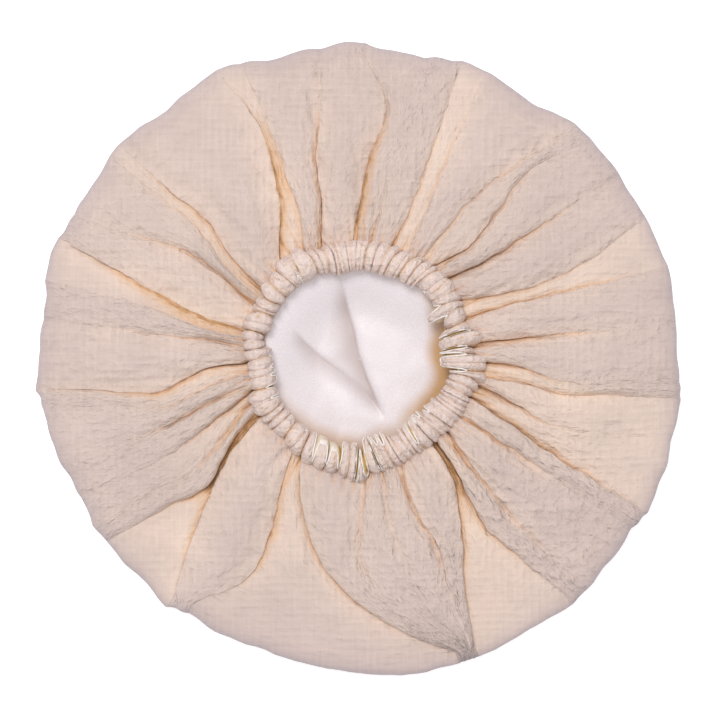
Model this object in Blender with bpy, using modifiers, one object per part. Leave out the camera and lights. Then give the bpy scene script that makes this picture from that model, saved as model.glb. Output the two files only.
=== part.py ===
"""A gathered sleep bonnet, lying flat with its opening up.

One circle of muslin is the body. It makes the flat base, rolls over at the rim and comes back as a puffed
skirt, which folds draw in to a ruched casing round the mouth. A satin lining lies inside it and runs up the
inner side of the casing, and an elastic band is hidden in the casing.

Lengths are metres and angles are degrees, counted from +X towards +Y. +Z is up and the table is at z = 0.
"""

from collections import namedtuple
import math

import bmesh
import bpy
from mathutils import Vector

# Driving sizes
BONNET_WIDTH = 0.3825
RIM_ROLL = 0.0080
SKIRT_HEIGHT = 0.0310
GATHER_DEPTH = 0.0095
MUSLIN_WALL = 0.0014
SATIN_WALL = 0.0010
SATIN_EASE = 0.0024
CLEARANCE = 0.0004
RING_RADIUS = 0.0598
CASING_WIDTH = 0.0190
CASING_RISE = 0.0150
CASING_WALL = 0.0012
STITCH_HEIGHT = 0.0215
RUFFLES = 48
RUFFLE_DEPTH = 0.0026
RUFFLE_VARIATION = 0.35
RUFFLE_SLANT = 5.0
ELASTIC_WIDTH = 0.0090
ELASTIC_WALL = 0.0012
COLUMN_PITCH = 5.0
LINING_COLUMNS = RUFFLES

# One row a fold: the furrow's direction where it meets the casing, halfway and at the rim; its depth there, as
# shares of GATHER_DEPTH; how full the cloth stands between it and the next furrow; and the rim's reach at the
# furrow and between it and the next, as shares of half the width.
Fold = namedtuple("Fold", "at_casing at_middle at_rim casing_depth middle_depth rim_depth fullness reach next_reach")
FOLDS = [
    Fold(8, 7, 7, 0.90, 0.40, 0.05, 1.00, 0.984, 0.988),
    Fold(20, 18, 17, 0.60, 0.55, 0.45, 0.40, 0.994, 0.990),
    Fold(30, 23, 26, 0.80, 0.50, 0.40, 1.00, 0.988, 0.984),
    Fold(43, 37, 36, 0.80, 0.50, 0.10, 1.00, 0.984, 0.984),
    Fold(54, 48, 46, 0.75, 0.50, 0.35, 1.00, 0.987, 0.957),
    Fold(65, 66, 66, 0.55, 0.40, 0.40, 0.45, 0.974, 0.976),
    Fold(74, 71, 71, 0.70, 0.40, 0.35, 1.00, 0.976, 0.955),
    Fold(92, 87, 89, 1.00, 0.80, 0.30, 1.00, 0.978, 0.980),
    Fold(107, 102, 98, 0.80, 0.60, 0.30, 1.00, 0.970, 0.972),
    Fold(119, 112, 112, 0.60, 0.60, 0.40, 0.50, 0.993, 1.000),
    Fold(130, 116, 117, 1.00, 0.80, 0.45, 1.00, 0.998, 0.978),
    Fold(143, 138, 138, 0.80, 0.70, 0.50, 1.00, 1.000, 0.995),
    Fold(154, 149, 152, 0.80, 0.55, 0.20, 1.00, 0.995, 1.000),
    Fold(166, 162, 159, 1.00, 1.00, 0.70, 0.85, 1.010, 1.000),
    Fold(174, 173, 173, 0.50, 0.35, 0.20, 1.00, 0.988, 0.995),
    Fold(182, 189, 186, 0.90, 0.80, 0.50, 1.00, 1.009, 0.978),
    Fold(199, 209, 208, 0.80, 0.45, 0.25, 0.85, 0.966, 0.970),
    Fold(209, 220, 217, 0.90, 0.80, 0.30, 0.50, 0.970, 0.962),
    Fold(215, 224, 231, 0.40, 0.60, 0.40, 1.00, 0.974, 0.965),
    Fold(233, 242, 240, 1.00, 0.90, 0.15, 0.55, 0.952, 0.944),
    Fold(241, 257, 278, 0.70, 0.80, 0.45, 1.00, 0.986, 0.985),
    Fold(273, 270, 284, 0.60, 0.40, 0.05, 1.00, 0.985, 0.986),
    Fold(290, 291, 288, 0.75, 0.50, 0.05, 1.00, 0.988, 0.990),
    Fold(304, 301, 292, 0.90, 0.70, 0.45, 0.50, 0.994, 0.992),
    Fold(313, 308, 311, 0.90, 0.80, 0.30, 1.00, 1.006, 1.000),
    Fold(323, 317, 318, 0.60, 0.40, 0.10, 1.00, 1.000, 0.994),
    Fold(339, 334, 332, 0.90, 0.70, 0.50, 0.90, 1.011, 1.003),
    Fold(348, 342, 343, 0.60, 0.50, 0.10, 0.90, 0.997, 1.000),
    Fold(357, 351, 353, 0.90, 0.80, 0.40, 1.00, 1.004, 0.982),
]

# One row a ring of the skirt, from the stitch line out to the rim: how far out it is, as a share of the way; how
# much it is held down to STITCH_HEIGHT; its height otherwise, as a share of the way from the rim's top up to
# SKIRT_HEIGHT; and how much of the gathers it shows.
Ring = namedtuple("Ring", "out held height gathers")
SKIRT = [
    Ring(0.00, 1.00, 1.00, 0.08),
    Ring(0.05, 0.68, 1.00, 0.50),
    Ring(0.11, 0.20, 1.00, 0.90),
    Ring(0.20, 0.00, 1.00, 1.00),
    Ring(0.42, 0.00, 0.80, 1.00),
    Ring(0.72, 0.00, 0.40, 0.80),
    Ring(1.00, 0.00, 0.00, 0.60),
]
MIDDLE_OUT = 0.42

# The gathered ring wanders, and lies flatter in some places: its distance as a share of RING_RADIUS and its
# breadth as a share of CASING_WIDTH, by direction.
Stretch = namedtuple("Stretch", "direction distance breadth")
RING = [
    Stretch(8, 0.99, 1.30),
    Stretch(45, 1.02, 0.90),
    Stretch(80, 1.03, 0.95),
    Stretch(112, 1.05, 0.95),
    Stretch(138, 1.08, 1.00),
    Stretch(163, 1.05, 0.80),
    Stretch(187, 0.99, 0.80),
    Stretch(227, 0.98, 0.85),
    Stretch(252, 0.99, 0.95),
    Stretch(272, 0.98, 1.20),
    Stretch(293, 0.93, 1.10),
    Stretch(317, 0.94, 1.00),
    Stretch(335, 0.97, 1.05),
]

# The casing's section, from the stitch on its outer side over the top to the stitch on its inner side: across
# as a share of half its breadth, up as a share of CASING_RISE, and how much of the ruffles it shows.
Section = namedtuple("Section", "across up ruffle")
CASING = [
    Section(0.66, 0.00, 0.00),
    Section(0.98, 0.30, 0.90),
    Section(0.92, 0.66, 1.00),
    Section(0.45, 0.95, 1.00),
    Section(-0.20, 1.00, 1.00),
    Section(-0.78, 0.80, 1.00),
    Section(-1.00, 0.42, 0.90),
    Section(-0.76, 0.02, 0.20),
]
COLLAR_UP = (0.12, 0.60)

# Soft creases in the satin floor that shows through the mouth: both ends as shares of RING_RADIUS, the height
# as a share of RIM_ROLL, and the breadth as a share of RING_RADIUS.
Crease = namedtuple("Crease", "from_x from_y to_x to_y height breadth")
CREASES = [
    Crease(-0.18, 0.78, 0.30, -0.55, 0.28, 0.16),
    Crease(-0.64, 0.24, 0.25, -0.55, 0.18, 0.14),
]

# Rings of the lining's floor, as shares of RING_RADIUS.
FLOOR_RINGS = (0.22, 0.55, 0.88, 1.25)

# Colours, roughness and sheen of the cloths
MUSLIN = ("muslin", "DFCDC3", 0.9, 0.3)
SATIN = ("satin", "F0E6E2", 0.35, 0.5)
ELASTIC = ("elastic", "F2F0EC", 0.8, 0.0)


def clear_scene():
    for item in list(bpy.data.objects):
        bpy.data.objects.remove(item, do_unlink=True)


def linear(hex_colour):
    """The linear colour of an sRGB hex value."""
    levels = [int(hex_colour[i:i + 2], 16) / 255 for i in (0, 2, 4)]
    return [v / 12.92 if v <= 0.04045 else ((v + 0.055) / 1.055) ** 2.4 for v in levels] + [1.0]


def cloth_material(name, colour, roughness, sheen):
    material = bpy.data.materials.new(name)
    material.use_nodes = True
    shader = material.node_tree.nodes["Principled BSDF"]
    shader.inputs["Base Color"].default_value = linear(colour)
    shader.inputs["Roughness"].default_value = roughness
    shader.inputs["Sheen Weight"].default_value = sheen
    material.diffuse_color = linear(colour)
    return material


def mix(first, second, share):
    return first + (second - first) * share


def ease(share):
    """A share from 0 to 1 that starts and stops softly."""
    return share * share * (3 - 2 * share)


def around(rows, direction, column):
    """The named column of a table whose rows go once round, at any direction."""
    turned = direction % 360
    for i, row in enumerate(rows):
        following = rows[(i + 1) % len(rows)]
        width = (following.direction - row.direction) % 360
        past = (turned - row.direction) % 360
        if past < width:
            return mix(getattr(row, column), getattr(following, column), ease(past / width))
    return getattr(rows[0], column)


def along(rows, key, value, column):
    """The named column of a table whose rows go from one end to the other, at any place between them."""
    for row, following in zip(rows, rows[1:]):
        start, end = getattr(row, key), getattr(following, key)
        if value <= end:
            return mix(getattr(row, column), getattr(following, column), (value - start) / (end - start))
    return getattr(rows[-1], column)


def following_fold(number):
    """The next fold round, its directions a full turn on where it passes +X."""
    fold = FOLDS[(number + 1) % len(FOLDS)]
    if number + 1 < len(FOLDS):
        return fold
    return fold._replace(at_casing=fold.at_casing + 360, at_middle=fold.at_middle + 360, at_rim=fold.at_rim + 360)


def skirt_columns():
    """Places round the skirt: each furrow, and as many between it and the next as their widest gap asks for."""
    places = []
    for number, fold in enumerate(FOLDS):
        after = following_fold(number)
        gaps = (after.at_casing - fold.at_casing, after.at_middle - fold.at_middle, after.at_rim - fold.at_rim)
        parts = max(3, round(max(gaps) / COLUMN_PITCH))
        places += [(number, part / parts) for part in range(parts)]
    return places


def at_distance(casing_value, middle_value, rim_value, out):
    """A value given at the casing, halfway and at the rim, at any share of the way out."""
    if out < MIDDLE_OUT:
        return mix(casing_value, middle_value, out / MIDDLE_OUT)
    return mix(middle_value, rim_value, (out - MIDDLE_OUT) / (1 - MIDDLE_OUT))


def ridge(share):
    """How far up the cloth stands at a share of the way from one furrow to the next."""
    return math.sin(math.pi * share) ** 0.7


def direction_of(place, out):
    number, share = place
    fold, after = FOLDS[number], following_fold(number)
    start = at_distance(fold.at_casing, fold.at_middle, fold.at_rim, out)
    end = at_distance(after.at_casing, after.at_middle, after.at_rim, out)
    return mix(start, end, share)


def sag_of(place, out):
    """How deep the cloth lies at a place of the skirt, as a share of GATHER_DEPTH."""
    number, share = place
    fold, after = FOLDS[number], following_fold(number)
    start = at_distance(fold.casing_depth, fold.middle_depth, fold.rim_depth, out)
    end = at_distance(after.casing_depth, after.middle_depth, after.rim_depth, out)
    edge = mix(start, end, share)
    return mix(edge, (1 - fold.fullness) * edge, ridge(share))


def reach_of(place):
    """The rim's distance from the centre of the gathers."""
    number, share = place
    fold, after = FOLDS[number], following_fold(number)
    return BONNET_WIDTH / 2 * mix(mix(fold.reach, after.reach, share), fold.next_reach, ridge(share))


def rim_outline():
    """The rim's points, before the bonnet is centred."""
    points = []
    for place in skirt_columns():
        turn = math.radians(direction_of(place, 1))
        points.append(Vector((math.cos(turn), math.sin(turn), 0)) * reach_of(place))
    return points


def middle_of(points):
    """The centre of the points' box."""
    sides = [(min(p[i] for p in points) + max(p[i] for p in points)) / 2 for i in (0, 1)]
    return Vector((sides[0], sides[1], 0))


MIDDLE = middle_of(rim_outline())


def at(distance, direction, height):
    """A point given from the centre of the gathers, in the frame whose origin is under the bonnet's middle."""
    turn = math.radians(direction)
    return Vector((distance * math.cos(turn), distance * math.sin(turn), height)) - MIDDLE


def ring_distance(direction):
    return RING_RADIUS * around(RING, direction, "distance")


def half_breadth(direction):
    return CASING_WIDTH / 2 * around(RING, direction, "breadth")


def stitch_distance(direction):
    """Where the skirt's edge meets the casing's outer stitch line."""
    return ring_distance(direction) + CASING[0].across * half_breadth(direction) + CLEARANCE


def skirt_height(out, sag):
    """The muslin's outer height at a share of the way out to the rim, sunk by a share of the gathers' depth."""
    rim_top = 2 * RIM_ROLL
    crest = mix(rim_top, SKIRT_HEIGHT, along(SKIRT, "out", out, "height"))
    crest = mix(crest, STITCH_HEIGHT, along(SKIRT, "out", out, "held"))
    return crest - GATHER_DEPTH * sag * along(SKIRT, "out", out, "gathers")


def lofted(name, columns, first_ring, rings, centre=None):
    """A sheet made from a ring of points. Each further ring is extruded from the last and moved to its shape.

    first_ring and each of rings give the point of a column. A sheet with a centre is filled there by triangles,
    and one with none is open. A ring that is "split" doubles the columns instead.
    """
    mesh = bmesh.new()
    order = mesh.verts.layers.float.new("column")
    bmesh.ops.create_circle(mesh, segments=columns, radius=1, cap_ends=centre is not None, cap_tris=centre == "fan")
    edge_points = [v for v in mesh.verts if v.co.length > 0.5]
    edge_points.sort(key=lambda v: math.atan2(v.co.y, v.co.x) % math.tau)
    for column, vertex in enumerate(edge_points):
        vertex[order] = column
        vertex.co = first_ring(column)
    for vertex in mesh.verts:
        if vertex not in edge_points:
            vertex.co = sum((v.co for v in edge_points), Vector()) / len(edge_points)
    front = [e for e in mesh.edges if all(v in edge_points for v in e.verts)]
    for ring in rings:
        if ring == "split":
            front = split_ring(mesh, front, order, columns)
            continue
        made = bmesh.ops.extrude_edge_only(mesh, edges=front)["geom"]
        for vertex in (g for g in made if isinstance(g, bmesh.types.BMVert)):
            vertex.co = ring(vertex[order])
        front = [g for g in made if isinstance(g, bmesh.types.BMEdge)]
    return as_object(name, mesh)


def split_ring(mesh, front, order, columns):
    """Halves each edge of a ring, and numbers the new points between their neighbours."""
    ends = {edge: [v[order] for v in edge.verts] for edge in front}
    numbers = {}
    for edge, (first, second) in ends.items():
        wraps = abs(first - second) > columns / 2
        middle = (edge.verts[0].co + edge.verts[1].co) / 2
        numbers[middle.freeze()] = (columns - 0.5) if wraps else (first + second) / 2
    made = bmesh.ops.subdivide_edges(mesh, edges=front, cuts=1)
    for vertex in (g for g in made["geom_inner"] if isinstance(g, bmesh.types.BMVert)):
        nearest = min(numbers, key=lambda point: (point - vertex.co).length)
        vertex[order] = numbers[nearest]
    return [e for e in mesh.edges if len(e.link_faces) == 1]


def as_object(name, mesh):
    bmesh.ops.recalc_face_normals(mesh, faces=mesh.faces)
    data = bpy.data.meshes.new(name)
    mesh.to_mesh(data)
    mesh.free()
    data.shade_smooth()
    piece = bpy.data.objects.new(name, data)
    collection().objects.link(piece)
    return piece


def collection():
    """The collection of the bonnet's pieces."""
    name = "sleep_bonnet"
    if name not in bpy.data.collections:
        bpy.context.scene.collection.children.link(bpy.data.collections.new(name))
    return bpy.data.collections[name]


def face_like(piece, outward_point, outward):
    """Turns the sheet over if its face nearest the point looks the wrong way."""
    nearest = min(piece.data.polygons, key=lambda face: (face.center - outward_point).length)
    if nearest.normal.dot(outward) < 0:
        piece.data.flip_normals()


def thicken(piece, wall, even=True):
    """Gives the sheet its wall, on the side away from its face."""
    cloth = piece.modifiers.new("cloth", "SOLIDIFY")
    cloth.thickness = wall
    cloth.offset = -1
    cloth.use_even_offset = even
    cloth.use_rim = True


def shell():
    """The muslin body: the flat base, the rolled rim and the gathered skirt."""
    places = skirt_columns()

    def base_edge(column):
        place = places[int(column)]
        return at(reach_of(place) - RIM_ROLL, direction_of(place, 1), 0)

    def rolled(turn):
        """A ring of the rim, at an angle from straight out, down to the table or up to the skirt."""
        def ring(column):
            place = places[int(column)]
            half = skirt_height(1, sag_of(place, 1)) / 2
            out = reach_of(place) - RIM_ROLL * (1 - math.cos(math.radians(turn)))
            return at(out, direction_of(place, 1), half * (1 + math.sin(math.radians(turn))))
        return ring

    def gathered(out):
        def ring(column):
            place = places[int(column)]
            direction = direction_of(place, out)
            start, end = stitch_distance(direction), reach_of(place) - RIM_ROLL
            height = skirt_height(out, sag_of(place, out))
            return at(mix(start, end, out), direction, height)
        return ring

    rings = [rolled(turn) for turn in (-50, 0, 50)]
    rings += [gathered(ring.out) for ring in reversed(SKIRT)]
    piece = lofted("shell", len(places), base_edge, rings, centre="flat")
    face_like(piece, at(0, 0, 0), Vector((0, 0, -1)))
    thicken(piece, MUSLIN_WALL)
    piece.data.materials.append(cloth_material(*MUSLIN))
    return piece


def ruffled(column, section):
    """A point of the casing: its section there, pushed in and out by the ruffles, which lean along the ring."""
    ruffle = column / 2
    direction = 360 * ruffle / RUFFLES + RUFFLE_SLANT * (0.5 - section.across / 2)
    push = RUFFLE_DEPTH / 2 * (1 + RUFFLE_VARIATION * math.sin(3.7 * ruffle)) * section.ruffle
    push *= 1 if column % 2 == 0 else -1
    across = section.across * half_breadth(direction)
    up = section.up * CASING_RISE
    outward = Vector((across, up - 0.45 * CASING_RISE)).normalized() * push
    return direction, ring_distance(direction) + across + outward.x, STITCH_HEIGHT + up + outward.y


def casing():
    """The ruched muslin tunnel round the mouth, open below where it is stitched."""
    def ring(section):
        def point(column):
            direction, distance, height = ruffled(column, section)
            return at(distance, direction, height)
        return point

    rings = [ring(section) for section in CASING]
    piece = lofted("casing", 2 * RUFFLES, rings[0], rings[1:])
    face_like(piece, at(RING_RADIUS, 0, STITCH_HEIGHT + CASING_RISE), Vector((0, 0, 1)))
    thicken(piece, CASING_WALL, even=False)
    piece.data.materials.append(cloth_material(*MUSLIN))
    return piece


def crease_height(point):
    """How far the soft creases lift the satin floor."""
    lift = 0
    for crease in CREASES:
        start = Vector((crease.from_x, crease.from_y, 0)) * RING_RADIUS - MIDDLE
        end = Vector((crease.to_x, crease.to_y, 0)) * RING_RADIUS - MIDDLE
        way = end - start
        share = min(1, max(0, (point - start).dot(way) / way.length_squared))
        off = (point - start - way * share).length / (crease.breadth * RING_RADIUS)
        lift += crease.height * RIM_ROLL * math.sin(math.pi * mix(0.15, 0.85, share)) * math.exp(-off * off)
    return lift


def lining():
    """The satin bag inside the shell, up to its collar on the casing's inner side."""
    floor = MUSLIN_WALL + CLEARANCE
    under_skirt = MUSLIN_WALL + CLEARANCE + SATIN_EASE

    def direction_at(column):
        return 360 * column / LINING_COLUMNS

    def rim_at(direction):
        """The least reach of the shell's rim near a direction, less the ease of the lining."""
        near = [reach_of(p) for p in places if abs((direction_of(p, 1) - direction + 180) % 360 - 180) < 9]
        return min(near or [BONNET_WIDTH / 2]) - under_skirt

    def on_floor(share):
        def ring(column):
            point = at(share * RING_RADIUS, direction_at(column), 0)
            return point + Vector((0, 0, floor + crease_height(point)))
        return ring

    def at_rim(back, height):
        def ring(column):
            direction = direction_at(column)
            return at(rim_at(direction) - back, direction, height)
        return ring

    def under_gathers(out):
        """The satin under the deepest furrow at a share of the way out."""
        def ring(column):
            direction = direction_at(column)
            deepest = skirt_height(out, 1) - under_skirt
            return at(mix(stitch_distance(direction), rim_at(direction), out), direction, deepest)
        return ring

    def under_casing(across):
        def ring(column):
            direction = direction_at(column)
            distance = ring_distance(direction) + across * half_breadth(direction)
            return at(distance, direction, STITCH_HEIGHT - under_skirt)
        return ring

    def collar(up):
        section = CASING[-2]

        def ring(column):
            direction, distance, _ = ruffled(2 * column, section)
            return at(distance - CLEARANCE - SATIN_WALL, direction, STITCH_HEIGHT + up * CASING_RISE)
        return ring

    places = skirt_columns()
    inside_roll = skirt_height(1, 0) - under_skirt
    rings = [on_floor(share) for share in FLOOR_RINGS[1:]]
    rings += [at_rim(RIM_ROLL, floor), at_rim(0, mix(floor, inside_roll, 0.45)), at_rim(RIM_ROLL, inside_roll * 0.9)]
    rings += [under_gathers(out) for out in (0.60, 0.22)]
    rings += [under_casing(CASING[0].across), under_casing(-0.70), "split"]
    rings += [collar(up) for up in COLLAR_UP]
    piece = lofted("lining", LINING_COLUMNS, on_floor(FLOOR_RINGS[0]), rings, centre="fan")
    face_like(piece, at(RING_RADIUS / 3, 0, floor), Vector((0, 0, -1)))
    thicken(piece, SATIN_WALL, even=False)
    piece.data.materials.append(cloth_material(*SATIN))
    return piece


def elastic_band():
    """The band that gathers the mouth, on edge inside the casing."""
    deepest_ruffle = RUFFLE_DEPTH / 2 * (1 + RUFFLE_VARIATION)
    top = STITCH_HEIGHT + CASING_RISE - CASING_WALL - deepest_ruffle - CLEARANCE

    def ring(height):
        def point(column):
            direction = 360 * column / RUFFLES
            return at(ring_distance(direction) + ELASTIC_WALL / 2, direction, height)
        return point

    piece = lofted("elastic_band", RUFFLES, ring(top - ELASTIC_WIDTH), [ring(top)])
    face_like(piece, at(RING_RADIUS, 0, top), Vector((1, 0, 0)))
    thicken(piece, ELASTIC_WALL)
    piece.data.materials.append(cloth_material(*ELASTIC))
    return piece


def main():
    clear_scene()
    shell()
    casing()
    lining()
    elastic_band()


main()
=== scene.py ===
# %% [markdown]
# # A gathered sleep bonnet, cell by cell
#
# The bonnet lies flat with its mouth up. Its body is one big circle of double gauze muslin that rolls over
# at the rim and comes back as a skirt, drawn in by folds to a ruched casing round the mouth. A satin bag
# lines it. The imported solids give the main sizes, and this script makes the cloth that is seen.

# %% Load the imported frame
import math
from collections import namedtuple

import bmesh
import bpy
import numpy as np
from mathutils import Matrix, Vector, noise


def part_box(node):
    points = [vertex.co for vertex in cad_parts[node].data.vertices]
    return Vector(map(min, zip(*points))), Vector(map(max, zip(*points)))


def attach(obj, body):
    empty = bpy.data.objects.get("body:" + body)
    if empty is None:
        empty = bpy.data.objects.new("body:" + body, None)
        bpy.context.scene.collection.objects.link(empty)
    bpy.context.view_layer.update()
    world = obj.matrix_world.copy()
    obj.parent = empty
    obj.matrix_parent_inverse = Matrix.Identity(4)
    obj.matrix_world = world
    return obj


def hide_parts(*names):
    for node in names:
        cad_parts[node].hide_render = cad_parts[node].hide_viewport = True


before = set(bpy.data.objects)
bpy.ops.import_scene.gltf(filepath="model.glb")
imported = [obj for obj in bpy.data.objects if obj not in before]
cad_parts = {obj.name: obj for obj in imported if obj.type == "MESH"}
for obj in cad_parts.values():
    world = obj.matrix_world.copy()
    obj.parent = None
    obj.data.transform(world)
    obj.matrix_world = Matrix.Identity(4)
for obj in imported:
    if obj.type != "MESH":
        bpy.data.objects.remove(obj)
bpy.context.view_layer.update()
MM = 0.001

# %% [markdown]
# ## Sizes
#
# Most sizes are read from the solids' boxes, so the cloth keeps to them. Three more are chosen as a sewer
# would: how far the rim rolls, how deep the gathers sink and how wide the gathered ring is.

# %% Sizes from the frame
shell_low, shell_high = (Vector(c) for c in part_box("shell"))
casing_low, casing_high = (Vector(c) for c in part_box("casing"))
lining_low, _ = (Vector(c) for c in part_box("lining"))
LINING_WALL = 1.0 * MM
WRINKLE_SPARE = 1.5 * MM
HALF_WIDTH = (shell_high.x - shell_low.x) / 2
SKIRT_HEIGHT = shell_high.z
STITCH_HEIGHT = casing_low.z
CASING_RISE = casing_high.z - casing_low.z - WRINKLE_SPARE
FLOOR_HEIGHT = lining_low.z + LINING_WALL
RIM_ROLL = 8.0 * MM
GATHER_DEPTH = 12.5 * MM
RING_RADIUS = 59.8 * MM
print(f"skirt {SKIRT_HEIGHT / MM:.1f} mm high, casing {CASING_RISE / MM:.1f} mm above its stitch line")

# %% [markdown]
# ## The folds
#
# Each row is one furrow of the skirt, counted round from +X. `way` is its direction at five distances, from
# the casing out to the rim, because few furrows run straight. `depth` is how deep it is there, in percent
# of the gathers. `lap` is how far a pleat laps over the furrow, plus for the pleat after it and minus for
# the one before it. `reach` and `next_reach` give the rim's outline, at the furrow and between it and the
# next, in thousandths of half the width. `full` says how far in percent the cloth stands up between it and
# the next furrow, near the casing and near the rim: a low number is a smooth valley floor, and a row
# without it has 100 at both.

# %% The folds' table
OUT = (0, 0.2, 0.44, 0.71, 1)
Fold = namedtuple("Fold", "way depth lap reach next_reach full", defaults=((100, 100),))
FOLDS = [Fold(*row) for row in (
    ((8, 7.5, 7, 6.5, 6.5), (90, 90, 50, 30, 0), 0.4, 984, 988),
    ((21, 20, 18.5, 17.5, 17), (80, 60, 60, 60, 45), -0.5, 994, 990, (30, 10)),
    ((30.6, 25, 22.5, 23.5, 26), (70, 60, 50, 45, 40), 0.4, 988, 984),
    ((43, 39, 37, 36, 35.5), (80, 80, 60, 40, 5), 0.6, 984, 984),
    ((52, 46, 47, 48, 44), (80, 60, 50, 30, 0), 0.5, 986, 986, (70, 90)),
    ((58, 56.5, 54.5, 51, 47.5), (50, 40, 40, 40, 40), 0.3, 987, 957),
    ((66, 66, 66.5, 66.5, 66.5), (40, 35, 45, 40, 40), -0.4, 974, 976, (40, 10)),
    ((74, 71.5, 71, 71, 71), (70, 50, 45, 40, 40), 0.3, 976, 966, (90, 100)),
    ((84.4, 82, 80, 78, 78), (50, 35, 10, 0, 0), 0.2, 956, 958, (90, 100)),
    ((94, 90, 87.5, 84, 89), (100, 100, 85, 55, 30), 1.0, 982, 980),
    ((109, 104, 102.5, 99.5, 97.5), (80, 75, 70, 50, 20), -0.7, 970, 968),
    ((118, 113, 112, 111.5, 112), (60, 45, 45, 35, 40), -0.4, 990, 1000, (40, 15)),
    ((131, 120, 114.7, 113.5, 116), (100, 100, 90, 60, 45), 1.1, 1000, 978),
    ((144, 142, 138, 138.5, 138.5), (90, 80, 80, 60, 50), -0.8, 1000, 1000, (30, 10)),
    ((149, 146, 141.5, 141, 141), (40, 30, 40, 35, 30), 0.2, 1000, 990, (80, 100)),
    ((153.7, 149.5, 148.4, 151, 153), (90, 70, 60, 40, 10), 0.3, 992, 1000, (70, 100)),
    ((166, 166, 163, 160, 158.4), (100, 100, 100, 90, 70), -1.4, 1010, 1010, (40, 10)),
    ((169.5, 169, 166.5, 166, 166), (30, 30, 25, 12, 5), 0.3, 1006, 992),
    ((174, 173, 173, 173, 173), (50, 50, 30, 30, 10), 0.3, 988, 995),
    ((181.5, 183, 189, 187, 185.6), (90, 80, 90, 60, 50), -0.8, 1009, 995, (35, 90)),
    ((187, 190, 194, 191, 189), (40, 40, 30, 10, 0), 0.3, 990, 982, (90, 100)),
    ((193, 196, 199, 200, 200), (30, 50, 50, 10, 0), 0.4, 974, 966, (90, 100)),
    ((197, 202, 206, 207, 206.5), (80, 60, 30, 10, 10), -0.5, 965, 968, (30, 90)),
    ((201, 209, 214, 213, 212), (70, 60, 30, 20, 20), 0.3, 973, 970, (90, 95)),
    ((207, 212.5, 219.5, 217.5, 216), (50, 70, 80, 50, 35), -0.4, 970, 960, (40, 10)),
    ((210, 214.5, 221, 227, 231.9), (90, 90, 90, 80, 45), 1.5, 974, 960),
    ((233, 238, 242.5, 243, 236), (60, 65, 85, 60, 5), -1.1, 952, 944, (20, 110)),
    ((238.5, 247.5, 257.5, 272, 288), (50, 60, 75, 70, 50), 0.9, 988, 986),
    ((273, 271, 270, 277, 289), (70, 40, 30, 0, 0), 0.3, 988, 988, (90, 100)),
    ((281.5, 280.5, 281, 284, 290), (40, 30, 10, 0, 0), 0.2, 990, 990, (90, 100)),
    ((291.5, 289.5, 292, 291, 290.8), (70, 60, 50, 20, 0), 0.4, 992, 992),
    ((310, 308, 301, 294.5, 291.8), (90, 90, 70, 60, 50), -1.0, 994, 990, (30, 10)),
    ((313.5, 311, 307, 308.7, 311), (90, 90, 80, 50, 25), 0.7, 1006, 1002),
    ((321, 316.5, 314.4, 314, 315), (80, 60, 50, 30, 0), 0.4, 1003, 996),
    ((331, 329.7, 328.7, 328, 328), (50, 60, 40, 0, 0), 0.5, 993, 1000),
    ((340.6, 337, 334, 332.5, 332), (90, 80, 80, 70, 50), -0.9, 1012, 1004, (80, 15)),
    ((347, 344.4, 341, 343, 345), (90, 80, 45, 45, 45), 0.5, 998, 1000, (100, 10)),
    ((352, 351.3, 350, 351.8, 352.8), (70, 70, 90, 70, 40), -0.8, 1004, 1000, (30, 70)),
    ((358.8, 357.5, 353.5, 355, 356), (80, 70, 30, 10, 10), 0.4, 990, 982),
)]
print(len(FOLDS), "furrows in the skirt")

# %% [markdown]
# ## Reading the table as smooth curves
#
# A furrow's direction and depth are wanted at any distance, so a row's five readings are joined by a cubic.
# Numpy does a whole ring of the skirt in one go.

# %% Curves through the table
def ease(share):
    """A share from 0 to 1 that starts and stops softly."""
    share = np.clip(share, 0, 1)
    return share * share * (3 - 2 * share)


def eased(value, start, width):
    """0 up to the start, 1 from a width past it on, and soft in between."""
    return ease((value - start) / width)


def mix(first, second, share):
    return first + (second - first) * share


def through(knots, values, where):
    """A smooth curve through the values at the knots, read at one place."""
    i = int(np.clip(np.searchsorted(knots, where, side="right") - 1, 0, len(knots) - 2))
    slopes = np.gradient(np.asarray(values, float), np.asarray(knots, float))
    step = knots[i + 1] - knots[i]
    t = (where - knots[i]) / step
    start = (1 + 2 * t) * (1 - t) ** 2 * values[i] + t * (1 - t) ** 2 * step * slopes[i]
    return start + t * t * (3 - 2 * t) * values[i + 1] + t * t * (t - 1) * step * slopes[i + 1]


def first_again(values):
    """The values and the first one again, so that each has a next one round the ring."""
    return np.array([*values, values[0]])


def furrow_values(column, out):
    """A column of the table for every furrow at a share of the way out, from percent, and the first again."""
    rows = [getattr(fold, column) for fold in FOLDS]
    knots = OUT if len(rows[0]) == len(OUT) else (0, 1)
    return first_again([float(np.interp(out, knots, row)) / 100 for row in rows])


def noise_round(fineness, turn, along):
    """Noise on a circle, so that it closes after a full turn."""
    return noise.noise(Vector((fineness * math.cos(turn), fineness * math.sin(turn), along)))


LAPS = first_again([fold.lap for fold in FOLDS])
LAP_REACH = 2.6 * MM
LAP_SIZE = 2.2 * LAP_REACH
SKIRT_OUT = (0.0, 0.05, 0.11, 0.20, 0.42, 0.72, 1.0)
SKIRT_GATHERS = (0.35, 0.72, 0.95, 1.0, 1.0, 0.80, 0.60)
NEAR_RING, NEAR_RIM = 68.0 * MM, 182.0 * MM
WAVER = 1.4 * MM
WAVERS = 13
WAVERS_APART = 7.3


def laps_at(out):
    """How far each pleat is pushed over its furrow at a share of the way out, with the table's sign."""
    return LAPS * furrow_values("depth", out) * LAP_SIZE * np.interp(out, SKIRT_OUT, SKIRT_GATHERS)


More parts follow.
